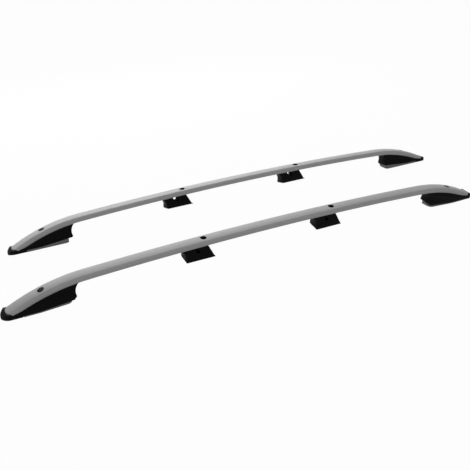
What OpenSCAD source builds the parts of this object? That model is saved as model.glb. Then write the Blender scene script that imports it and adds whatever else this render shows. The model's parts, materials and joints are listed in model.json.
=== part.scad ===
// Pair of side rails for a vehicle roof.
// Each rail is a hollow bent aluminium bar on two moulded end feet and two
// moulded supports, with rubber pads under them, steel sleeves for the fixing
// bolts, and plugs in the holes through which those bolts are reached.
// X runs along the rails, and the two rails mirror each other across Y.

/* [Pair] */
// Distance between the centre lines of the two rails
rail_spacing = 464; // [300:4:1200]
// How far the left rail lies ahead of the right one
stagger = 131; // [0:1:200]
// Lean of each rail towards its outer side, in degrees
lean = 4; // [2:0.5:6]

/* [Bar] */
// Length of one rail from tip to tip
rail_length = 2100; // [1900:10:2300]
// Width of the bar
bar_width = 58; // [54:1:62]
// Depth of the bar
bar_depth = 24; // [23:0.5:26]
// Wall of the hollow bar
bar_wall = 2.4; // [2:0.1:3]
// Radius of the long arch between the two bends
arch_radius = 14800; // [13000:100:18000]
// Radius of the bend at each end
bend_radius = 650; // [630:5:680]
// Length of rail from the start of a bend to the tip
bend_run = 303; // [296:1:310]
// Length of rail from the bar's end to the tip
nose_run = 18; // [16:1:20]
// Height of the bar's centre line at the bar's end
nose_height = 9.4; // [8.8:0.2:11]

/* [Bolts] */
// Distance from the tip to the bolt of an end foot
end_bolt_run = 144; // [140:1:150]
// Distance between the bolts of a rail's two supports
support_bolt_spacing = 574; // [500:2:640]
// Radius of a hole in the top of the bar
access_radius = 11; // [9:0.5:12]
// Radius of the bolt's bore
bolt_radius = 4.5; // [4:0.25:5.5]

/* [Feet] */
// Length of an end foot
foot_length = 278; // [270:1:284]
// How far a foot's base stands out past the bar on each side
base_reach = 2; // [1:0.5:4]
// Wall of the mouldings
mould_wall = 3; // [2.5:0.25:4]
// Thickness of a foot's pad under its outer edge
pad_edge = 3.5; // [3:0.5:5]
// How far a foot's inner end stands above the surface, to follow the roof's curve
roof_rise = 9; // [2:0.5:10]
// Slope of the roof under a foot's inner half, in degrees
roof_slope = 14; // [4:1:16]

/* [Supports] */
// Length of a support at its top
support_length = 106; // [96:1:116]
// How far a support's top lies ahead of its bolt
support_lead = 8; // [6:1:12]
// Height of a support's base above the surface the rail stands on
support_lift = 39; // [35:1:42]

/* [Hidden] */
$fn = 64;
// Steps round a large arc, and along a stretch of the long arch
arc_fn = 256;
arch_step = 8;
gap = 0.1;
half = rail_length / 2;
bend_x = half - bend_run;
nose_x = half - nose_run;
foot_x = half - foot_length;
end_bolt_x = half - end_bolt_run;
support_bolt_x = support_bolt_spacing / 2;
arch_angle = asin(bend_x / arch_radius);
nose_angle = asin(sin(arch_angle) + (nose_x - bend_x) / bend_radius);
bend_z = nose_height + bend_radius * (cos(arch_angle) - cos(nose_angle));
crown_z = bend_z + arch_radius * (1 - cos(arch_angle));
arch_centre = [0, crown_z - arch_radius];
bend_centre = [bend_x - bend_radius * sin(arch_angle), bend_z - bend_radius * cos(arch_angle)];
// Radii of the bar's upper and lower faces about the bend's centre
bend_top = bend_radius + bar_depth / 2;
bend_under = bend_radius - bar_depth / 2;
arch_under = arch_radius - bar_depth / 2;
// Half width of a moulding at its base, and how it narrows towards the bar
base_half = bar_width / 2 + base_reach;
side_draft = 6;
// The bolts stand upright, under the middle of the leaning bar
bolt_y = -sin(lean) * bend_z;
sleeve_wall = 2.5;
sleeve_radius = bolt_radius + sleeve_wall;
boss_radius = sleeve_radius + mould_wall;
end_radius = bar_width / 2 + 3.5;
// Turn between two points of a rounded corner, and distance from a hole's edge to a web of the bar
corner_turn = 12;
web_clear = 4;
// The bar's end is cut flat underneath at this height, and the nose's rim stands this far above its top
nose_floor = 6;
rim_rise = 0.8;
// Where the rim starts and is half height, back from the bar's end, and full height, beyond that end
rim_start = 60;
rim_half = 20;
rim_full = 2;
// Height of the nose's top edge at the tip
nose_tip = 9;
nose_length = 70;
heel_height = 31;
heel_setback = 14;
heel_bevel = 38;
// The front pads reach further in under the bar than the rear ones
front_pad_x = foot_x + 24;
rear_pad_x = foot_x + 34;
pad_corner = 18;
// Slope of a foot's base across the rail, above the pad
base_slope = roof_slope / 2;
rib = 2.5;
// A foot's underside is level as far back as this, and rises from there to its inner end
level_x = half - 130;
// Height of a foot's base above its pad in the leaning frame, at the level part and at the inner end
pad_top = pad_edge / cos(lean) + base_half * tan(lean);
pad_growth = 4;
pad_top_inner = pad_top + roof_rise + pad_growth;
waist_radius = 44;
waist_depth = 12;
screw_radius = 2;
screw_head = 3.8;
screw_head_depth = 2.4;
screw_socket = 2;
// How much moulding a screw's head holds up, and how far its shank reaches into the bar
screw_grip = 9;
screw_bite = 5;
// Places of the screws along a foot, and along a support from its bolt
foot_screws = [foot_x + 60, half - 92];
support_base_fore = support_lead + 31;
support_base_aft = support_lead - support_length + 16;
support_screws = [support_lead - support_length + 22, support_lead - 30];
support_pad = 2;
sole_inset = 7;
sole_margin = 2;
flange_height = 4;
// The flange's front corner: how far it stands out, and how high above it the slanting front starts
flange_reach = 5;
flange_step = 3;
// Solid ends left at the two ends of a support's hollow
aft_wall = 12;
fore_wall = 18;
notch_width = 16;
notch_height = 10;
notch_shift = -50;
pocket_shift = -36;
pocket_drop = 15;
pocket_radius = 7;
pocket_depth = 6;
plug_drop = 2;
plug_cap = 2.5;
plug_height = 8;
plug_wall = 1.6;
far = 400;

function bend_slope(x) = asin(sin(arch_angle) + (x - bend_x) / bend_radius);
function arch_slope(x) = asin(x / arch_radius);
// Height of the face at radius r about a centre, at a distance x along the rail
function arc_z(centre, r, x) = centre.y + sqrt(r ^ 2 - (x - centre.x) ^ 2);
function middle_z(x) = arc_z(bend_centre, bend_radius, x);
// Height of the bar's centre line anywhere along the rail
function bar_z(x) = abs(x) > bend_x ? middle_z(abs(x)) : arc_z(arch_centre, arch_radius, x);
function unit(v) = v / norm(v);

// Corners of the bar's section as [across, up, radius]; the outer side is negative
bar_corners = [
    [-bar_width / 2 + 2.5, -bar_depth / 2, 7],
    [-bar_width / 2, -1, 9],
    [-bar_width / 2 + 5, bar_depth / 2 - 3, 9],
    [0, bar_depth / 2, 120],
    [bar_width / 2 - 4, bar_depth / 2 - 3, 2.5],
    [bar_width / 2, -1, 9],
    [bar_width / 2 - 2.5, -bar_depth / 2, 7]
];

// A corner rounded by short steps between its two sides
function corner_arc(before, at, after, r) =
    let (
        u = unit(at - before),
        v = unit(after - at),
        turn = acos(u * v),
        side = sign(u.x * v.y - u.y * v.x),
        start = at - u * r * tan(turn / 2),
        heading = atan2(u.y, u.x),
        steps = max(2, ceil(turn / corner_turn))
    )
    [
        for (k = [0 : steps])
            let (h = heading + side * turn * k / steps)
            start + r * side * [sin(h) - sin(heading), cos(heading) - cos(h)]
    ];

// The corners of the socket for the bar: its lower half, with straight sides up past its top
socket_corners = [
    bar_corners[0],
    [-bar_width / 2, -1, 3],
    [-bar_width / 2, bar_depth, 1],
    [bar_width / 2, bar_depth, 1],
    [bar_width / 2, -1, 3],
    bar_corners[6]
];

// Outline through a section's corners, made larger or smaller all round
function rounded_outline(corners, inset) =
    let (
        count = len(corners),
        wide = (bar_width - 2 * inset) / bar_width,
        deep = (bar_depth - 2 * inset) / bar_depth,
        corner = [for (c = corners) [c.x * wide, c.y * deep]]
    )
    [
        for (i = [0 : count - 1])
            each corner_arc(
                corner[(i + count - 1) % count],
                corner[i],
                corner[(i + 1) % count],
                max(corners[i].z - inset, 0.6)
            )
    ];

// The bar's section: a shell with two upright webs
module bar_section() {
    difference() {
        polygon(rounded_outline(bar_corners, 0));
        difference() {
            polygon(rounded_outline(bar_corners, bar_wall));
            for (side = [-1, 1])
                translate([side * (access_radius + web_clear + bar_wall / 2), 0])
                    square([bar_wall, bar_depth], center = true);
        }
    }
}

// A section carried round an arc: onward from the upright when the angle is above 0
module carried(radius, angle) {
    rotate([90, 0, 0])
        mirror([angle > 0 ? 1 : 0, 0, 0])
            rotate([0, 0, 90])
                rotate_extrude(angle = abs(angle), $fn = arc_fn)
                    translate([radius, 0])
                        rotate(-90)
                            children();
}

// The front half of the bar, drawn from the place where its bend starts
module bar_half() {
    intersection() {
        translate([arch_centre.x, 0, arch_centre.y])
            rotate([0, arch_angle, 0]) {
                carried(arch_radius, -arch_angle - 0.05) bar_section();
                translate([0, 0, arch_radius - bend_radius])
                    carried(bend_radius, nose_angle - arch_angle) bar_section();
            }
        translate([0, -far, -far])
            cube([half + far, 2 * far, 2 * far]);
    }
}

// Shape drawn as [along, up], made solid across the rail
module across(width) {
    rotate([90, 0, 0])
        linear_extrude(width, center = true)
            children();
}

// Everything below the bar's centre line, or an offset from it, around a place along the rail
module below_bar(x, offset, reach) {
    if (abs(x) > bend_x)
        translate([sign(x) * bend_centre.x, bend_centre.y])
            circle(r = bend_radius + offset, $fn = arc_fn);
    else
        polygon([
            [x - reach, 0],
            for (k = [-arch_step : arch_step])
                let (at = x + reach * k / arch_step)
                [at, arc_z(arch_centre, arch_radius + offset, at)],
            [x + reach, 0]
        ]);
}

// Everything above the surface at a height, in the standing frame
module above(height) {
    translate([-half - far, -far, height])
        cube([2 * half + 2 * far, 2 * far, far]);
}

module upright_at(x) {
    translate([x, bolt_y, 0])
        children();
}

// Puts a rail that is drawn leaning onto its place in the pair
module right_side() {
    translate([-stagger / 2, -rail_spacing / 2, 0])
        children();
}

module left_side() {
    translate([stagger / 2, rail_spacing / 2, 0])
        mirror([0, 1, 0])
            children();
}

module leaning() {
    rotate([lean, 0, 0])
        children();
}

module rearwards() {
    mirror([1, 0, 0])
        children();
}

// Bar
// What rounds the bar's end in plan, and cuts it flat underneath
module end_waste() {
    difference() {
        translate([nose_x - end_radius, -far / 2, -far / 2])
            cube([far, far, far]);
        translate([nose_x - end_radius, 0, nose_floor])
            cylinder(r = end_radius, h = far);
    }
}

module bar() {
    color("silver")
        difference() {
            leaning()
                difference() {
                    union() {
                        bar_half();
                        rearwards() bar_half();
                    }
                    end_waste();
                    rearwards() end_waste();
                    for (side = [-1, 1]) {
                        for (x = foot_screws)
                            foot_screw_place(side, x) pilot_hole();
                        for (x = support_screws)
                            support_screw_place(side * support_bolt_x + x) pilot_hole();
                    }
                }
            for (x = [-end_bolt_x, -support_bolt_x, support_bolt_x, end_bolt_x])
                upright_at(x) {
                    cylinder(r = bolt_radius, h = far);
                    translate([0, 0, bar_z(x)])
                        cylinder(r = access_radius, h = far);
                }
        }
}

module pilot_hole() {
    translate([0, 0, -1])
        cylinder(r = screw_radius + gap, h = bar_depth / 2);
}

// A screw stands square to the bar's lower face, with its head below
module foot_screw_place(side, x) {
    mirror([side < 0 ? 1 : 0, 0, 0])
        translate([x, 0, arc_z(bend_centre, bend_under, x)])
            rotate([0, bend_slope(x), 0])
                children();
}

module support_screw_place(x) {
    translate([x, 0, arc_z(arch_centre, arch_under, x)])
        rotate([0, arch_slope(x), 0])
            children();
}

// End foot
module foot_side() {
    difference() {
        union() {
            intersection() {
                translate(bend_centre) circle(r = bend_under - gap, $fn = arc_fn);
                translate([foot_x, -far / 4]) square([nose_x - foot_x, far]);
            }
            intersection() {
                translate(bend_centre) circle(r = bend_top + rim_rise, $fn = arc_fn);
                polygon([
                    [nose_x - rim_start, -far / 4],
                    [nose_x - rim_start, middle_z(nose_x - rim_start) - bar_depth / 2],
                    [nose_x - rim_half, middle_z(nose_x - rim_half)],
                    [nose_x + rim_full, middle_z(nose_x) + bar_depth / 2 + 2 * rim_rise],
                    [half + 1, nose_tip],
                    [half + 1, -far / 4]
                ]);
            }
        }
        heel_waste();
    }
}

// Side view of the pad and everything below it
module pad_side(clearance) {
    polygon([
        [foot_x - 1, pad_top_inner - clearance],
        [level_x, pad_top - clearance],
        [half - nose_length, pad_top - clearance],
        [half - nose_length, -far / 4],
        [foot_x - 1, -far / 4]
    ]);
}

// The pad and everything below it, thicker towards the rail's inner side
module pad_block(clearance) {
    translate([0, -base_half, pad_top])
        rotate([base_slope, 0, 0])
            translate([0, 0, -pad_top])
                across(2 * far) pad_side(clearance);
}

// Everything above the roof under a foot, in the standing frame
module above_roof() {
    intersection() {
        across(2 * far)
            polygon([
                [foot_x - 1, roof_rise],
                [level_x, 0],
                [half + far, 0],
                [half + far, far],
                [foot_x - 1, far]
            ]);
        rotate([90, 0, 90])
            linear_extrude(2 * half)
                polygon([
                    [-far, 0],
                    [0, 0],
                    [far, far * tan(roof_slope)],
                    [-far, 2 * far]
                ]);
    }
}

// A hollow curve between two points, on the side towards the rail's middle
module waist(top, low, radius, depth) {
    chord = unit(low - top);
    translate((top + low) / 2 + [chord.y, -chord.x] * (radius - depth))
        circle(r = radius, $fn = 180);
}

// The waist and the bevelled heel at the inner end of a foot
module heel_waste() {
    top = [foot_x, arc_z(bend_centre, bend_under, foot_x)];
    low = [foot_x + heel_setback, heel_height];
    waist(top, low, waist_radius, waist_depth);
    polygon([
        low + [0, 0.01],
        [foot_x + heel_bevel, pad_top],
        [foot_x + heel_bevel, -far / 4],
        [foot_x - 1, -far / 4],
        [foot_x - 1, heel_height + 0.01]
    ]);
}

// Plan of a foot: straight sides and a round nose
module foot_plan(inset) {
    radius = base_half - inset;
    translate([half - base_half, 0]) circle(r = radius, $fn = 128);
    translate([foot_x - 1, -radius]) square([half - base_half - foot_x + 1, 2 * radius]);
}

// Section of a moulding that narrows towards the bar
module drafted(half_width, inset) {
    w = half_width - inset;
    peak = w / tan(side_draft);
    rotate([90, 0, 90])
        linear_extrude(2 * half + far, center = true)
            polygon([[-2 * w, -peak], [2 * w, -peak], [0, peak]]);
}

module foot_hollow() {
    intersection() {
        across(2 * far)
            intersection() {
                translate(bend_centre) circle(r = bend_under - mould_wall - 2, $fn = arc_fn);
                translate([foot_x + heel_bevel + mould_wall, -far / 4])
                    square([half - nose_length - mould_wall - foot_x - heel_bevel, far]);
            }
        drafted(base_half, mould_wall);
    }
}

module foot_ribs() {
    for (x = concat(foot_screws, [(foot_screws[0] + end_bolt_x) / 2, (foot_screws[1] + end_bolt_x) / 2]))
        translate([x - rib / 2, -far / 2, -far / 4])
            cube([rib, far, far]);
    translate([foot_x, -rib / 2, -far / 4])
        cube([foot_length, rib, far]);
    for (x = foot_screws)
        foot_screw_place(1, x)
            translate([0, 0, -far / 2])
                cylinder(r = screw_head + mould_wall, h = far / 2);
}

module foot() {
    color("dimgray")
        difference() {
            intersection() {
                leaning()
                    difference() {
                        intersection() {
                            across(2 * far) foot_side();
                            drafted(base_half, 0);
                            translate([0, 0, -far / 4])
                                linear_extrude(far) foot_plan(0);
                        }
                        difference() {
                            foot_hollow();
                            foot_ribs();
                            rotate([-lean, 0, 0])
                                upright_at(end_bolt_x)
                                    translate([0, 0, -far / 4]) cylinder(r = boss_radius, h = far);
                        }
                        pad_block(0);
                        nose_socket();
                        for (x = foot_screws)
                            foot_screw_place(1, x) screw_bore();
                    }
                above_roof();
            }
            upright_at(end_bolt_x)
                translate([0, 0, -1]) cylinder(r = sleeve_radius + gap, h = far);
        }
}

// The socket in the nose that the bar's end sits in, open above the bar
module nose_socket() {
    intersection() {
        translate([bend_centre.x, 0, bend_centre.y])
            rotate([0, nose_angle - 6, 0])
                carried(bend_radius, 8) polygon(rounded_outline(socket_corners, -gap));
        union() {
            translate([nose_x - end_radius, 0, nose_floor - gap])
                cylinder(r = end_radius + gap, h = far);
            translate([nose_x - end_radius - rim_start, -far / 2, nose_floor - gap])
                cube([rim_start, far, far]);
        }
    }
}

// Clearance for a screw's shank above its head's seat, and for the head below it
module screw_bore() {
    translate([0, 0, -screw_grip])
        cylinder(r = screw_radius + gap, h = screw_grip + 2);
    translate([0, 0, -far / 2])
        cylinder(r = screw_head + gap, h = far / 2 - screw_grip);
}

module screw() {
    translate([0, 0, -screw_grip])
        cylinder(r = screw_radius, h = screw_grip + bar_wall + screw_bite);
    translate([0, 0, -screw_grip - screw_head_depth])
        difference() {
            cylinder(r = screw_head, h = screw_head_depth);
            translate([0, 0, -1])
                cylinder(r = screw_socket, h = screw_head_depth, $fn = 6);
        }
}

// Rubber pad under an end foot, thicker on its inner side
module foot_pad(inner) {
    color("gray")
        difference() {
            intersection() {
                leaning()
                    intersection() {
                        pad_block(gap);
                        translate([0, 0, -far / 4])
                            linear_extrude(far) pad_plan(inner);
                    }
                above_roof();
            }
            upright_at(end_bolt_x)
                translate([0, 0, -1]) cylinder(r = sleeve_radius + gap, h = far);
        }
}

module pad_plan(inner) {
    outer = half - nose_length - 1;
    reach = base_half + 1;
    for (side = [-1, 1])
        translate([inner + pad_corner, side * (reach - pad_corner)])
            circle(r = pad_corner);
    translate([inner, pad_corner - reach])
        square([outer - inner, 2 * (reach - pad_corner)]);
    translate([inner + pad_corner, -reach])
        square([outer - inner - pad_corner, 2 * reach]);
}

// Support, drawn with its bolt at x = 0
module support_side() {
    base = support_lift + support_pad;
    top = crown_z - bar_depth / 2;
    aft_top = [support_lead - support_length, top - 3];
    aft_low = [support_base_aft, base + flange_height];
    difference() {
        polygon([
            [support_base_aft, base - base_half],
            [support_base_fore, base - base_half],
            [support_base_fore, base + flange_height / 2],
            [support_base_fore - flange_reach, base + flange_height + flange_step],
            [support_lead, top],
            [support_lead, crown_z],
            [support_lead - support_length, crown_z],
            aft_top,
            aft_low
        ]);
        waist(aft_top, aft_low, waist_radius, waist_depth / 2);
        translate([notch_shift, top - notch_height + notch_width / 2])
            circle(r = notch_width / 2);
        translate([notch_shift - notch_width / 2, top - notch_height + notch_width / 2])
            square([notch_width, notch_width]);
    }
}

module support_hollow() {
    roof = crown_z - bar_depth / 2 - notch_height - 2 * mould_wall;
    intersection() {
        translate([support_base_aft + aft_wall, -far / 2, 0])
            cube([support_base_fore - support_base_aft - aft_wall - fore_wall, far, roof]);
        drafted(base_half - 1, mould_wall);
    }
}

module support_ribs() {
    translate([support_base_aft, -rib / 2, 0])
        cube([support_base_fore - support_base_aft, rib, far]);
    for (x = [support_screws[0], (support_screws[0] + support_screws[1]) / 2, support_screws[1]])
        translate([x - rib / 2, -far / 2, 0])
            cube([rib, far, far]);
    for (x = support_screws)
        translate([x, 0, 0])
            cylinder(r = screw_head + mould_wall, h = far);
    rotate([-lean, 0, 0])
        translate([0, bolt_y, 0])
            cylinder(r = boss_radius, h = far);
    translate([pocket_shift, 0, crown_z - bar_depth / 2 - pocket_drop])
        rotate([90, 0, 0])
            cylinder(r = pocket_radius + mould_wall, h = far, center = true);
}

// The round pocket with a peg in it, in each side of a support
module side_pocket() {
    height = crown_z - bar_depth / 2 - pocket_drop;
    face = base_half - 1 - height * tan(side_draft);
    for (side = [-1, 1])
        translate([pocket_shift, side * face, height])
            rotate([90, 0, 0])
                difference() {
                    cylinder(r = pocket_radius, h = 2 * pocket_depth, center = true);
                    translate([0, 0, side * pocket_depth])
                        cylinder(r = pocket_radius / 2, h = 2 * (pocket_depth - 2), center = true);
                }
}

module support(x) {
    color("dimgray")
        difference() {
            intersection() {
                leaning()
                    difference() {
                        intersection() {
                            translate([x, 0, 0]) across(2 * base_half) support_side();
                            drafted(base_half - 1, 0);
                            across(2 * far) below_bar(x, -bar_depth / 2 - gap, 2 * support_length);
                        }
                        translate([x, 0, 0])
                            difference() {
                                support_hollow();
                                support_ribs();
                            }
                        translate([x, 0, 0]) side_pocket();
                        for (s = support_screws)
                            support_screw_place(x + s) screw_bore();
                    }
                above(support_lift + support_pad);
            }
            upright_at(x)
                cylinder(r = sleeve_radius + gap, h = far);
        }
}

// Rubber pad under a support
module support_sole(x) {
    color("black")
        difference() {
            translate([x + support_base_aft + sole_margin, bolt_y / 2 - base_half + sole_inset, support_lift])
                cube([
                    support_base_fore - support_base_aft - 2 * sole_margin,
                    2 * (base_half - sole_inset),
                    support_pad
                ]);
            upright_at(x)
                cylinder(r = sleeve_radius + gap, h = far);
        }
}

// Plug in a hole in the top of the bar
module plug(x) {
    color("black")
        difference() {
            intersection() {
                upright_at(x)
                    translate([0, 0, bar_z(x) + bar_depth / 2 - plug_height - plug_drop])
                        cylinder(r = access_radius - gap, h = far / 4);
                leaning()
                    across(4 * access_radius) below_bar(x, bar_depth / 2 - plug_drop, 2 * access_radius);
            }
            upright_at(x)
                translate([0, 0, bar_z(x) - bar_depth])
                    cylinder(r = access_radius - plug_wall, h = 1.5 * bar_depth - plug_drop - plug_cap - 3);
        }
}

// Steel sleeve that the fixing bolt clamps, cut to meet the bar's lower face
module sleeve(x, base) {
    color("lightsteelblue")
        difference() {
            intersection() {
                upright_at(x)
                    translate([0, 0, base]) cylinder(r = sleeve_radius, h = far);
                leaning()
                    across(4 * sleeve_radius) below_bar(x, -bar_depth / 2 - gap, 3 * sleeve_radius);
            }
            upright_at(x)
                cylinder(r = bolt_radius, h = far);
        }
}

module sleeves() {
    for (side = [-1, 1]) {
        sleeve(side * end_bolt_x, 0);
        sleeve(side * support_bolt_x, support_lift);
    }
}

module screws() {
    color("gainsboro")
        leaning()
            for (side = [-1, 1]) {
                for (x = foot_screws)
                    foot_screw_place(side, x) screw();
                for (x = support_screws)
                    support_screw_place(side * support_bolt_x + x) screw();
            }
}

module right_bar() right_side() bar();
module left_bar() left_side() bar();
module right_front_foot() right_side() foot();
module right_rear_foot() right_side() rearwards() foot();
module left_front_foot() left_side() foot();
module left_rear_foot() left_side() rearwards() foot();
module right_front_pad() right_side() foot_pad(front_pad_x);
module right_rear_pad() right_side() rearwards() foot_pad(rear_pad_x);
module left_front_pad() left_side() foot_pad(front_pad_x);
module left_rear_pad() left_side() rearwards() foot_pad(rear_pad_x);
module right_front_support() right_side() support(support_bolt_x);
module right_rear_support() right_side() support(-support_bolt_x);
module left_front_support() left_side() support(support_bolt_x);
module left_rear_support() left_side() support(-support_bolt_x);
module right_front_support_pad() right_side() support_sole(support_bolt_x);
module right_rear_support_pad() right_side() support_sole(-support_bolt_x);
module left_front_support_pad() left_side() support_sole(support_bolt_x);
module left_rear_support_pad() left_side() support_sole(-support_bolt_x);
module right_front_end_plug() right_side() plug(end_bolt_x);
module right_rear_end_plug() right_side() plug(-end_bolt_x);
module left_front_end_plug() left_side() plug(end_bolt_x);
module left_rear_end_plug() left_side() plug(-end_bolt_x);
module right_front_plug() right_side() plug(support_bolt_x);
module right_rear_plug() right_side() plug(-support_bolt_x);
module left_front_plug() left_side() plug(support_bolt_x);
module left_rear_plug() left_side() plug(-support_bolt_x);
module right_sleeves() right_side() sleeves();
module left_sleeves() left_side() sleeves();
module right_screws() right_side() screws();
module left_screws() left_side() screws();

right_bar();
left_bar();
right_front_foot();
right_rear_foot();
left_front_foot();
left_rear_foot();
right_front_pad();
right_rear_pad();
left_front_pad();
left_rear_pad();
right_front_support();
right_rear_support();
left_front_support();
left_rear_support();
right_front_support_pad();
right_rear_support_pad();
left_front_support_pad();
left_rear_support_pad();
right_front_end_plug();
right_rear_end_plug();
left_front_end_plug();
left_rear_end_plug();
right_front_plug();
right_rear_plug();
left_front_plug();
left_rear_plug();
right_sleeves();
left_sleeves();
right_screws();
left_screws();
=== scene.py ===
# A pair of roof side rails, standing on a white ground.
import json
import math

import bmesh
import bpy
from mathutils import Matrix, Vector
from mathutils.bvhtree import BVHTree

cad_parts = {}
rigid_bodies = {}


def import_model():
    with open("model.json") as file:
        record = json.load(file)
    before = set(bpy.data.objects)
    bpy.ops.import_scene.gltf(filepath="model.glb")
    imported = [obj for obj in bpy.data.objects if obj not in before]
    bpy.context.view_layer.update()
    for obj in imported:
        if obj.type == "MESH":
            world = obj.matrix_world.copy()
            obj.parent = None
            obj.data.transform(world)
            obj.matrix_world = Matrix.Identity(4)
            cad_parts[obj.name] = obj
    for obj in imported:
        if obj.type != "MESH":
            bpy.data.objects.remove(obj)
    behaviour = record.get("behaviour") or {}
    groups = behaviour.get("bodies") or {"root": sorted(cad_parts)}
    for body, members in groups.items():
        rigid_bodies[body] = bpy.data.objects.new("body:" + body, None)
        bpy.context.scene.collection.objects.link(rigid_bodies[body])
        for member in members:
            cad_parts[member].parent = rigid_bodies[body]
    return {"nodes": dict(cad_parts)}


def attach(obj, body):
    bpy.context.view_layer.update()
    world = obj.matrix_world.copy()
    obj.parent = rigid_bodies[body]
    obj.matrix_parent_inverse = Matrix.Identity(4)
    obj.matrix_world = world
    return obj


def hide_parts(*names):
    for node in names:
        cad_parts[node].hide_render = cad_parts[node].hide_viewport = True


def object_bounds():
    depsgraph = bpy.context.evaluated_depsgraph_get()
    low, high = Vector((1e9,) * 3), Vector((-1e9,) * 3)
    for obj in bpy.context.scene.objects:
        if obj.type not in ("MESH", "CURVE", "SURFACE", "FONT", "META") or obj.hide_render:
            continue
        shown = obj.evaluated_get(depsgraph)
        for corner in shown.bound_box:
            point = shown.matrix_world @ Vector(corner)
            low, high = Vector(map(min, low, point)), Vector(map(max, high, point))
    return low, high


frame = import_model()
cad_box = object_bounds()
nodes = frame["nodes"]
scene = bpy.context.scene
scene.view_settings.view_transform = "Standard"


# Camera
# The photograph looks down on the rails from the right rail's outer side, from about three metres away.
# The angles turn the camera from looking level across the rails, and its lens is in millimetres.
view_heading = math.radians(27.68)
view_dip = math.radians(25.91)
view_tilt = math.radians(-1.18)
view_target = Vector((-0.1268, -0.0627, 0.0))
view_distance = 3.085
view_depth = 50.0
lens_length = 57.55
sensor_width = 36.0
forward = Vector((
    math.sin(view_heading) * math.cos(view_dip),
    math.cos(view_heading) * math.cos(view_dip),
    -math.sin(view_dip),
))
level_right = Vector((math.cos(view_heading), -math.sin(view_heading), 0.0))
level_up = level_right.cross(forward)
right = level_right * math.cos(view_tilt) + level_up * math.sin(view_tilt)
up = level_up * math.cos(view_tilt) - level_right * math.sin(view_tilt)


def placed(name, data):
    """A new object in the scene."""
    thing = bpy.data.objects.new(name, data)
    scene.collection.objects.link(thing)
    return thing


camera_data = bpy.data.cameras.new("camera")
camera_data.lens = lens_length
camera_data.sensor_width = sensor_width
camera_data.clip_end = view_depth
camera = placed("camera", camera_data)
turn = Matrix((right, up, -forward)).transposed().to_4x4()
camera.matrix_world = Matrix.Translation(view_target - forward * view_distance) @ turn
scene.camera = camera


# Ground and light
# A white ground sheet lies under the rails, and shows almost plain white, with hardly any shadow.
# Large soft lamps overhead and in front, and a pale surround, light the rails evenly.
ground_half = 12.0
ground_glow = 0.97
surround_strength = 0.36
white = (1.0, 1.0, 1.0, 1.0)
paper_white = (0.6, 0.6, 0.6, 1.0)


def new_material(name):
    """A material with an empty tree."""
    material = bpy.data.materials.new(name)
    material.use_nodes = True
    tree = material.node_tree
    tree.nodes.clear()
    return material, tree


def add(tree, kind, **values):
    """A new node, with its named inputs set to values or linked to other nodes' outputs."""
    node = tree.nodes.new(kind)
    for key, value in values.items():
        socket = node.inputs[key.replace("_", " ").title().replace("Ior", "IOR")]
        if isinstance(value, bpy.types.NodeSocket):
            tree.links.new(value, socket)
        else:
            socket.default_value = value
    return node


def calculated(tree, operation, first, second):
    """The result of a sum on an output and a number or another output."""
    node = tree.nodes.new("ShaderNodeMath")
    node.operation = operation
    tree.links.new(first, node.inputs[0])
    if isinstance(second, float):
        node.inputs[1].default_value = second
    else:
        tree.links.new(second, node.inputs[1])
    return node.outputs[0]


def seen_or_mirrored(tree):
    """1 for rays from the camera and for those mirrored or let through by the object, else 0."""
    path = tree.nodes.new("ShaderNodeLightPath")
    known = path.outputs["Is Camera Ray"]
    for kind in ("Is Glossy Ray", "Is Transmission Ray"):
        known = calculated(tree, "MAXIMUM", known, path.outputs[kind])
    return known


def mixed(tree, share, first, second):
    """A shader that goes from the first to the second as the share goes from 0 to 1."""
    blend = tree.nodes.new("ShaderNodeMixShader")
    tree.links.new(share, blend.inputs["Fac"])
    tree.links.new(first.outputs[0], blend.inputs[1])
    tree.links.new(second.outputs[0], blend.inputs[2])
    return blend


def finished(tree, shader, kind="ShaderNodeOutputMaterial"):
    """Ends a tree in this shader."""
    add(tree, kind, surface=shader.outputs[0])


ground_material, tree = new_material("white_ground")
paper = add(tree, "ShaderNodeBsdfDiffuse", color=paper_white)
glow = add(tree, "ShaderNodeEmission", color=white, strength=1.0)
glow_share = calculated(tree, "MULTIPLY", seen_or_mirrored(tree), ground_glow)
finished(tree, mixed(tree, glow_share, paper, glow))
ground_mesh = bpy.data.meshes.new("ground")
ground_mesh.from_pydata(
    [(-ground_half, -ground_half, 0), (ground_half, -ground_half, 0),
     (ground_half, ground_half, 0), (-ground_half, ground_half, 0)],
    [], [(0, 1, 2, 3)])
ground_mesh.materials.append(ground_material)
ground = placed("ground", ground_mesh)

world = bpy.data.worlds.new("surround")
scene.world = world
world.use_nodes = True
tree = world.node_tree
tree.nodes.clear()
soft = add(tree, "ShaderNodeBackground", color=white, strength=surround_strength)
plain = add(tree, "ShaderNodeBackground", color=white, strength=1.0)
finished(tree, mixed(tree, seen_or_mirrored(tree), soft, plain), "ShaderNodeOutputWorld")


def soft_lamp(name, place, size, power):
    """A wide lamp that faces the middle of the pair."""
    data = bpy.data.lights.new(name, "AREA")
    data.shape = "RECTANGLE"
    data.size, data.size_y = size
    data.energy = power
    lamp = placed(name, data)
    lamp.location = place
    lamp.rotation_euler = (-Vector(place)).to_track_quat("-Z", "Y").to_euler()


soft_lamp("overhead_lamp", place=(0.1, 2.5, 1.6), size=(3.6, 1.6), power=77.0)
soft_lamp("front_lamp", place=(-0.8, -3.2, 1.8), size=(3.0, 2.0), power=9.0)


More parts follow.
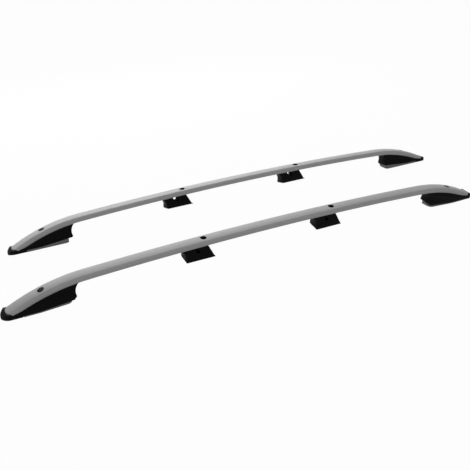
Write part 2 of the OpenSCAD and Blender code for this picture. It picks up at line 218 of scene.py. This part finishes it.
# Bars
# Each bar is a hollow aluminium extrusion with a domed top and rounded shoulders, drawn here by its outside.
# It is bent at both ends, cut round where it enters the feet, bored from above, and anodised a matt grey.
rail_spacing = 0.464
stagger = 0.131
lean = math.radians(4.0)
half_length = 1.05
bend_inset = 0.303
nose_inset = 0.018
end_bolt_inset = 0.144
bar_width = 0.058
bar_depth = 0.024
arch_radius = 14.8
arch_steps = 60
bend_radius = 0.65
bend_steps = 40
bend_x = half_length - bend_inset
nose_x = half_length - nose_inset
nose_height = 0.0094
nose_floor = 0.006
nose_side_gap = 0.0035
end_radius = bar_width / 2 + nose_side_gap
end_step_degrees = 3
arch_angle = math.asin(bend_x / arch_radius)
nose_angle = math.asin(math.sin(arch_angle) + (nose_x - bend_x) / bend_radius)
bend_z = nose_height + bend_radius * (math.cos(arch_angle) - math.cos(nose_angle))
crown_z = bend_z + arch_radius * (1.0 - math.cos(arch_angle))
end_bolt_x = half_length - end_bolt_inset
support_bolt_x = 0.287
bolt_y = -math.sin(lean) * bend_z
access_radius = 0.011
# The section is drawn this much inside the solid bar's, to stay within it.
skin = 0.0001
# The section's corners: how far each lies in from the sides or the top, and how round it is.
bottom_inset = 0.0025
bottom_radius = 0.007
side_height = -0.001
side_radius = 0.009
shoulder_drop = 0.003
outer_shoulder_inset = 0.005
outer_shoulder_radius = 0.009
inner_shoulder_inset = 0.004
inner_shoulder_radius = 0.008
dome_radius = 0.120
corner_step_degrees = 4.0
# The drills start this far above the bar's centre line. The blocks that shape its ends reach well past it.
drill_start = 0.002
drill_length = 0.04
drill_steps = 64
block_length = 0.09
block_half = 0.08
block_floor = -0.06
block_top = 0.1
crisp_angle = math.radians(30)


def line_height(x):
    """Height of the bar's centre line at a distance along the rail."""
    x = abs(x)
    if x <= bend_x:
        return crown_z - arch_radius + math.sqrt(arch_radius ** 2 - x ** 2)
    centre_x = bend_x - bend_radius * math.sin(arch_angle)
    centre_z = bend_z - bend_radius * math.cos(arch_angle)
    return centre_z + math.sqrt(bend_radius ** 2 - (x - centre_x) ** 2)


def bar_outline():
    """The section as (across, up) points, its outer side first, each corner rounded to its own radius."""
    half_w = bar_width / 2 - skin
    half_d = bar_depth / 2 - 2 * skin
    shoulder = half_d - shoulder_drop
    corners = [
        (-half_w + bottom_inset, -half_d, bottom_radius),
        (-half_w, side_height, side_radius),
        (-half_w + outer_shoulder_inset, shoulder, outer_shoulder_radius),
        (0.0, half_d, dome_radius),
        (half_w - inner_shoulder_inset, shoulder, inner_shoulder_radius),
        (half_w, side_height, side_radius),
        (half_w - bottom_inset, -half_d, bottom_radius),
    ]
    points = []
    for i, (across, high, radius) in enumerate(corners):
        at = Vector((across, high))
        before = (at - Vector(corners[i - 1][:2])).normalized()
        after = (Vector(corners[(i + 1) % len(corners)][:2]) - at).normalized()
        turning = before.angle(after)
        side = -1.0 if before.x * after.y - before.y * after.x < 0 else 1.0
        start = at - before * radius * math.tan(turning / 2)
        heading = math.atan2(before.y, before.x)
        steps = max(2, math.ceil(math.degrees(turning) / corner_step_degrees))
        for k in range(steps + 1):
            now = heading + side * turning * k / steps
            points.append(start + radius * side * Vector(
                (math.sin(now) - math.sin(heading), math.cos(heading) - math.cos(now))))
    return points


def place_of(side):
    """Where a rail that is drawn standing at the origin, outer side at -Y, goes in the pair."""
    if side == "right":
        return Matrix.Translation((-stagger / 2, -rail_spacing / 2, 0))
    return Matrix.Translation((stagger / 2, rail_spacing / 2, 0)) @ Matrix.Scale(-1, 4, (0, 1, 0))


def curve_through(name, points, closed):
    """A curve of straight steps from point to point."""
    data = bpy.data.curves.new(name, "CURVE")
    data.dimensions = "3D"
    data.twist_mode = "Z_UP"
    spline = data.splines.new("POLY")
    spline.points.add(len(points) - 1)
    for point, place in zip(spline.points, points):
        point.co = (*place, 1.0)
    spline.use_cyclic_u = closed
    return placed(name, data)


def grow(shape, face, by):
    """Makes a face into a block that reaches as far as the vector says."""
    grown = bmesh.ops.extrude_face_region(shape, geom=[face])["geom"]
    points = [point for point in grown if isinstance(point, bmesh.types.BMVert)]
    bmesh.ops.translate(shape, verts=points, vec=by)


def mesh_of(name, shape):
    """A mesh of the drawn shape, which is then let go."""
    mesh = bpy.data.meshes.new(name)
    shape.to_mesh(mesh)
    shape.free()
    return mesh


def evaluated_mesh(thing):
    """The mesh that an object's modifiers make."""
    return bpy.data.meshes.new_from_object(thing.evaluated_get(bpy.context.evaluated_depsgraph_get()))


def access_drills():
    """What bores the holes in the bar's top."""
    shape = bmesh.new()
    for x in (-end_bolt_x, -support_bolt_x, support_bolt_x, end_bolt_x):
        made = bmesh.ops.create_cone(
            shape, cap_ends=True, segments=drill_steps, radius1=access_radius, radius2=access_radius,
            depth=drill_length)
        middle = line_height(x) + drill_start + drill_length / 2
        bmesh.ops.translate(shape, verts=made["verts"], vec=(x, bolt_y, middle))
    return placed("drills", mesh_of("drills", shape))


def end_blocks(name, outline, top):
    """What shapes both ends of the bar: blocks of this outline, seen from above, up to this height."""
    shape = bmesh.new()
    for side in (-1, 1):
        face = shape.faces.new([shape.verts.new((side * x, y, block_floor)) for x, y in outline])
        grow(shape, face, (0, 0, top - block_floor))
    bmesh.ops.recalc_face_normals(shape, faces=shape.faces)
    bmesh.ops.rotate(shape, verts=shape.verts, cent=(0, 0, 0), matrix=Matrix.Rotation(lean, 3, "X"))
    return placed(name, mesh_of(name, shape))


def bar_tree():
    """Sweeps the section along the bend line, leans it, and cuts it with each tool."""
    tree = bpy.data.node_groups.new("bent_bar", "GeometryNodeTree")
    inputs = (
        ("Geometry", "Geometry"), ("Section", "Object"), ("Drills", "Object"), ("Rounds", "Object"),
        ("Flats", "Object"), ("Lean", "Float"), ("Finish", "Material"))
    for name, kind in inputs:
        tree.interface.new_socket(name, in_out="INPUT", socket_type="NodeSocket" + kind)
    tree.interface.new_socket("Geometry", in_out="OUTPUT", socket_type="NodeSocketGeometry")
    given = tree.nodes.new("NodeGroupInput").outputs
    section = add(tree, "GeometryNodeObjectInfo", object=given["Section"])
    sweep = add(
        tree, "GeometryNodeCurveToMesh", curve=given["Geometry"],
        profile_curve=section.outputs["Geometry"], fill_caps=True)
    angle = add(tree, "ShaderNodeCombineXYZ", x=given["Lean"])
    leaning = add(
        tree, "GeometryNodeTransform", geometry=sweep.outputs["Mesh"], rotation=angle.outputs[0])
    cut = leaning.outputs["Geometry"]
    for name in ("Rounds", "Flats", "Drills"):
        tool = add(tree, "GeometryNodeObjectInfo", object=given[name])
        saw = add(tree, "GeometryNodeMeshBoolean", mesh_1=cut, mesh_2=tool.outputs["Geometry"])
        saw.operation = "DIFFERENCE"
        saw.solver = "EXACT"
        cut = saw.outputs["Mesh"]
    real = add(tree, "GeometryNodeRealizeInstances", geometry=cut)
    coat = add(
        tree, "GeometryNodeSetMaterial", geometry=real.outputs["Geometry"], material=given["Finish"])
    add(tree, "NodeGroupOutput", geometry=coat.outputs["Geometry"])
    return tree


def object_places(tree):
    """Where each point of a piece lies, which the patterns are read at."""
    return tree.nodes.new("ShaderNodeTexCoord").outputs["Object"]


def noise(tree, where, **values):
    """A cloudy pattern from 0 to 1."""
    return add(tree, "ShaderNodeTexNoise", vector=where, **values).outputs["Fac"]


def ranged(tree, value, low, high):
    """A value from 0 to 1, spread from low to high."""
    return add(tree, "ShaderNodeMapRange", value=value, to_min=low, to_max=high).outputs["Result"]


def bumped(tree, height, **values):
    """A surface's direction, roughened by a pattern."""
    return add(tree, "ShaderNodeBump", height=height, **values).outputs["Normal"]


def coated(tree, **values):
    """Ends a material's tree in one surface."""
    finished(tree, add(tree, "ShaderNodeBsdfPrincipled", **values))


def anodised_surface():
    """Matt grey anodising, with faint clouding, a satin grain and the fine lines that the die draws."""
    material, tree = new_material("anodised_aluminium")
    where = object_places(tree)
    along = add(tree, "ShaderNodeMapping", vector=where, scale=(1.5, 420.0, 420.0))
    lines = noise(tree, along.outputs["Vector"], scale=1.0, detail=3.0, roughness=0.55)
    etch = noise(tree, where, scale=1800.0, detail=2.0)
    cloud = noise(tree, where, scale=9.0, detail=3.0)
    shade = ranged(tree, cloud, low=0.37, high=0.43)
    streak = ranged(tree, lines, low=0.88, high=1.12)
    drawn = bumped(tree, lines, strength=0.4, distance=0.00008)
    coated(
        tree, metallic=0.1, specular_ior_level=0.3,
        base_color=calculated(tree, "MULTIPLY", shade, streak),
        roughness=ranged(tree, lines, low=0.5, high=0.68),
        normal=bumped(tree, etch, strength=0.2, distance=0.00003, normal=drawn))
    return material


places = [nose_x - (nose_x - bend_x) * k / bend_steps for k in range(bend_steps)]
places += [bend_x - 2 * bend_x * k / arch_steps for k in range(arch_steps + 1)]
places += [-x for x in reversed(places[:bend_steps])]
# A swept section is laid with its across to the curve's left and its up downwards.
section = curve_through("bar_section", [(p.x, -p.y, 0.0) for p in bar_outline()], True)
end_centre = nose_x - end_radius
end_arc = [
    (end_centre + end_radius * math.sin(math.radians(a)), end_radius * math.cos(math.radians(a)))
    for a in range(0, 181, end_step_degrees)]
end_box = [
    (end_centre, -block_half), (end_centre + block_length, -block_half),
    (end_centre + block_length, block_half), (end_centre, block_half)]
given = {
    "Section": section,
    "Drills": access_drills(),
    "Rounds": end_blocks("rounds", end_arc + end_box, block_top),
    "Flats": end_blocks("flats", end_box, nose_floor),
    "Lean": lean,
    "Finish": anodised_surface(),
}
tree = bar_tree()
for side in ("right", "left"):
    line = curve_through(side + "_line", [(x, 0.0, line_height(x)) for x in places], False)
    maker = line.modifiers.new("bent_bar", "NODES")
    maker.node_group = tree
    for item in tree.interface.items_tree:
        if item.name in given:
            maker[item.identifier] = given[item.name]
    mesh = evaluated_mesh(line)
    mesh.transform(place_of(side))
    if side == "left":
        mesh.flip_normals()
    mesh.shade_smooth()
    mesh.set_sharp_from_angle(angle=crisp_angle)
    bar = placed(side + "_rail_bar", mesh)
    bpy.data.objects.remove(line)
    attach(bar, "root")
    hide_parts(side + "_bar")
for tool in ("Section", "Drills", "Rounds", "Flats"):
    bpy.data.objects.remove(given[tool])


# Feet and supports
# Black glass-filled nylon, injection moulded with soft edges and a fine spark-eroded grain.
# The bar sits down in the end feet. The supports are open through under the bar, and sloped like the roof.
moulding_edge = 0.0007
opening_radius = 0.0066
opening_step_degrees = 9
# The opening's ends before the rail leans: along it from the bolt, across it, and up.
opening_outside = (-0.0256, -0.034, 0.0727)
opening_inside = (-0.0504, 0.034, 0.0962)
roof_slope = math.radians(14.0)
# The slope starts at the base's outer edge, at this height. The wedge that cuts it reaches past the support.
support_base = 0.041
base_edge = -0.0286
wedge_floor = -0.02
wedge_margin = 0.03
wedge_width = 0.06
wedge_rear = 0.12
wedge_length = 0.2
# Points of a CAD piece nearer than this are one, and faces that turn less than this are one flat face.
weld_gap = 0.00016
flat_angle = math.radians(0.6)
# Edges that turn more than this are rounded, and points of the rounding nearer than the gap are one.
soft_angle = math.radians(32)
double_gap = 0.000005


def moulding_surface(name, shine):
    """Black nylon with a fine grain, its gloss a little uneven from the flow in the mould."""
    material, tree = new_material(name)
    where = object_places(tree)
    grain = noise(tree, where, scale=1400.0, detail=3.0, roughness=0.6)
    flow = noise(tree, where, scale=18.0, detail=2.0)
    coated(
        tree, specular_ior_level=shine,
        base_color=ranged(tree, flow, low=0.0015, high=0.0035),
        roughness=ranged(tree, flow, low=0.44, high=0.62),
        normal=bumped(tree, grain, strength=0.35, distance=0.00006))
    return material


def cutter_at(shape, place):
    """The drawn shape as a cutter in its place, its faces outwards in a mirrored place too."""
    shape.transform(place)
    shape.normal_update()
    bmesh.ops.recalc_face_normals(shape, faces=shape.faces)
    return placed("cutter", mesh_of("cutter", shape))


def slanting_opening(side, x):
    """What opens a support through, from under the bar down to a round mouth on the outer side."""
    shape = bmesh.new()
    rings = []
    for along, across, height in (opening_outside, opening_inside):
        rings.append([
            shape.verts.new((x + along + opening_radius * math.cos(math.radians(a)), across,
                             height + opening_radius * math.sin(math.radians(a))))
            for a in range(0, 360, opening_step_degrees)])
    outer, inner = rings
    for k in range(len(outer)):
        shape.faces.new((outer[k - 1], outer[k], inner[k], inner[k - 1]))
    shape.faces.new(outer)
    shape.faces.new(inner)
    return cutter_at(shape, place_of(side) @ Matrix.Rotation(lean, 4, "X"))


def roof_wedge(side, x, base):
    """What slopes a base at this height: the roof under it, rising towards the rail's inner side."""
    shape = bmesh.new()
    inner_edge = base_edge + wedge_width
    outline = [
        (base_edge - wedge_margin, wedge_floor), (base_edge, base),
        (inner_edge, base + wedge_width * math.tan(roof_slope)), (inner_edge, wedge_floor)]
    face = shape.faces.new([shape.verts.new((x - wedge_rear, y, z)) for y, z in outline])
    grow(shape, face, (wedge_length, 0, 0))
    return cutter_at(shape, place_of(side))


def cut_mesh(mesh, cutter):
    """The mesh with the cutter taken out of it."""
    block = placed("block", mesh)
    saw = block.modifiers.new("saw", "BOOLEAN")
    saw.operation = "DIFFERENCE"
    saw.solver = "EXACT"
    saw.object = cutter
    cut = evaluated_mesh(block)
    bpy.data.objects.remove(block)
    bpy.data.objects.remove(cutter)
    return cut


def surface_of(mesh):
    """The mesh's faces, to find the nearest point on them or where a ray meets them."""
    return BVHTree.FromPolygons(
        [point.co for point in mesh.vertices], [tuple(face.vertices) for face in mesh.polygons])


def softened(name, edge, material, cutters=()):
    """A moulded copy of a CAD piece with its sharp edges rounded, in its place."""
    shape = bmesh.new()
    shape.from_mesh(nodes[name].data)
    bmesh.ops.remove_doubles(shape, verts=shape.verts, dist=weld_gap)
    bmesh.ops.dissolve_limit(shape, angle_limit=flat_angle, verts=shape.verts, edges=shape.edges)
    mesh = mesh_of(name + "_moulded", shape)
    for cutter in cutters:
        mesh = cut_mesh(mesh, cutter)
    mesh.materials.clear()
    mesh.materials.append(material)
    mesh.shade_smooth()
    piece = placed(name + "_moulded", mesh)
    rounding = piece.modifiers.new("soft_edges", "BEVEL")
    rounding.width = edge
    rounding.segments = 2
    rounding.limit_method = "ANGLE"
    rounding.angle_limit = soft_angle
    rounding.use_clamp_overlap = False
    rounding.harden_normals = True
    rounded = evaluated_mesh(piece)
    # Where edges meet at a thin corner, the rounding throws points out. They go back to the sharp surface,
    # none goes below the part's lowest point, and the ones that then meet are joined.
    sharp = surface_of(mesh)
    for point in rounded.vertices:
        place, _, _, away = sharp.find_nearest(point.co)
        if away > edge:
            point.co = place
        point.co.z = max(point.co.z, cad_box[0][2])
    shape = bmesh.new()
    shape.from_mesh(rounded)
    bmesh.ops.remove_doubles(shape, verts=shape.verts, dist=double_gap)
    bmesh.ops.dissolve_degenerate(shape, edges=shape.edges, dist=double_gap)
    shape.to_mesh(rounded)
    shape.free()
    piece.modifiers.clear()
    piece.data = rounded
    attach(piece, "root")
    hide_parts(name)
    return piece


# Both ends of each rail have the same fittings: the rail, the start of their names, and their way along it.
corners = [
    (side, side + "_" + end, towards)
    for side in ("right", "left") for end, towards in (("front", 1), ("rear", -1))]
moulding_material = moulding_surface("black_moulding", shine=0.05)
for side, corner, towards in corners:
    softened(corner + "_foot", moulding_edge, moulding_material)
    bolt_x = towards * support_bolt_x
    cutters = (slanting_opening(side, bolt_x), roof_wedge(side, bolt_x, support_base))
    softened(corner + "_support", moulding_edge, moulding_material, cutters)


# Pads and soles
# The end feet stand on a grey moulded rubber pad that shows as a thin strip under the black shell.
# The supports stand on a thin black rubber sole, which slopes with their base.
pad_grey = 0.17
pad_edge = 0.0006
bloom_share = 0.15
sole_grey = 0.018
sole_edge = 0.0004
sole_thickness = 0.002


def rubber_surface(name, grey):
    """Moulded rubber with a coarse grain and a faint bloom."""
    material, tree = new_material(name)
    where = object_places(tree)
    grain = noise(tree, where, scale=900.0, detail=4.0, roughness=0.65)
    bloom = noise(tree, where, scale=35.0, detail=3.0)
    coated(
        tree, roughness=0.78,
        base_color=ranged(tree, bloom, low=grey * (1 - bloom_share), high=grey * (1 + bloom_share)),
        normal=bumped(tree, grain, strength=0.5, distance=0.00008))
    return material


pad_material = rubber_surface("grey_rubber", pad_grey)
sole_material = rubber_surface("black_rubber", sole_grey)
sloping = Matrix.Identity(4)
sloping[2][1] = math.tan(roof_slope)
sloping[2][3] = -base_edge * math.tan(roof_slope)
for side, corner, _ in corners:
    softened(corner + "_pad", pad_edge, pad_material)
    sole = softened(corner + "_support_pad", sole_edge, sole_material)
    sole.data.transform(place_of(side) @ sloping @ place_of(side).inverted())


# Plugs
# Satin black caps press into the access holes over the end bolts, and matt ones over the supports' bolts.
# Each has a thin lip that lies on the bar's face round its hole.
end_plug_edge = 0.0005
plug_edge = 0.0004
lip_radius = 0.0121
lip_height = 0.0004
lip_steps = 64
# How far the lip reaches into the hole and down it, how round it is, and how deep it sits in the bar.
lip_tuck = 0.0003
lip_skirt = 0.0006
lip_inner_round = 0.0002
lip_outer_round = 0.0004
lip_sink = 0.0002
lip_angle = math.radians(40)
# The bar's face is felt for from well above it, and no nearer to the hole than this.
feeler_height = 0.3
feeler_margin = 0.0004


def satin_surface():
    """Black nylon, smoother than the mouldings."""
    material, tree = new_material("satin_plug")
    swirl = noise(tree, object_places(tree), scale=300.0, detail=2.0)
    coated(
        tree, base_color=(0.006, 0.006, 0.006, 1.0), specular_ior_level=0.06,
        roughness=ranged(tree, swirl, low=0.5, high=0.62))
    return material


def plug_lip(name, side, x, faces, material):
    """A thin ring round an access hole, laid on the bar's top face."""
    rings = (
        (access_radius - lip_tuck, -lip_skirt), (access_radius + lip_inner_round, lip_height),
        (lip_radius - lip_outer_round, lip_height), (lip_radius, lip_height / 2), (lip_radius, -lip_sink))
    centre = place_of(side) @ Vector((x, bolt_y, 0.0))
    shape = bmesh.new()
    rows = []
    for radius, rise in rings:
        row = []
        for k in range(lip_steps):
            turn = 2 * math.pi * k / lip_steps
            away = Vector((math.cos(turn), math.sin(turn), 0.0))
            felt = max(radius, access_radius + feeler_margin)
            above = centre + away * felt + Vector((0, 0, feeler_height))
            face = faces.ray_cast(above, Vector((0, 0, -1)))[0]
            row.append(shape.verts.new(centre + away * radius + Vector((0, 0, face.z + rise))))
        rows.append(row)
    for inner, outer in zip(rows, rows[1:] + rows[:1]):
        for k in range(lip_steps):
            shape.faces.new((inner[k - 1], outer[k - 1], outer[k], inner[k]))
    bmesh.ops.recalc_face_normals(shape, faces=shape.faces)
    mesh = mesh_of(name, shape)
    mesh.materials.append(material)
    mesh.shade_smooth()
    mesh.set_sharp_from_angle(angle=lip_angle)
    lip = placed(name, mesh)
    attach(lip, "root")


lining_material = moulding_surface("matt_lining", shine=0.0)
plug_material = satin_surface()
for side, corner, towards in corners:
    softened(corner + "_end_plug", end_plug_edge, plug_material)
    softened(corner + "_plug", plug_edge, lining_material)
    faces = surface_of(bpy.data.objects[side + "_rail_bar"].data)
    plug_lip(corner + "_end_lip", side, towards * end_bolt_x, faces, plug_material)
    plug_lip(corner + "_lip", side, towards * support_bolt_x, faces, lining_material)


# Sleeves and screws
# Turned steel sleeves in the mouldings take the grip of the bolts, and screws hold the mouldings to the bar.
# All are bright zinc plated. The sleeves in the supports end level with the underside of the sloping sole.
sleeve_edge = 0.0003


def zinc_surface():
    """Bright zinc plating, a little cloudy."""
    material, tree = new_material("zinc_steel")
    cloud = noise(tree, object_places(tree), scale=220.0, detail=3.0)
    coated(
        tree, base_color=(0.58, 0.58, 0.57, 1.0), metallic=1.0,
        roughness=ranged(tree, cloud, low=0.26, high=0.44))
    return material


steel_material = zinc_surface()
for side in ("right", "left"):
    under_sole = support_base - sole_thickness
    cutters = [roof_wedge(side, x, under_sole) for x in (-support_bolt_x, support_bolt_x)]
    softened(side + "_sleeves", sleeve_edge, steel_material, cutters)
    nodes[side + "_screws"].data.materials.clear()
    nodes[side + "_screws"].data.materials.append(steel_material)
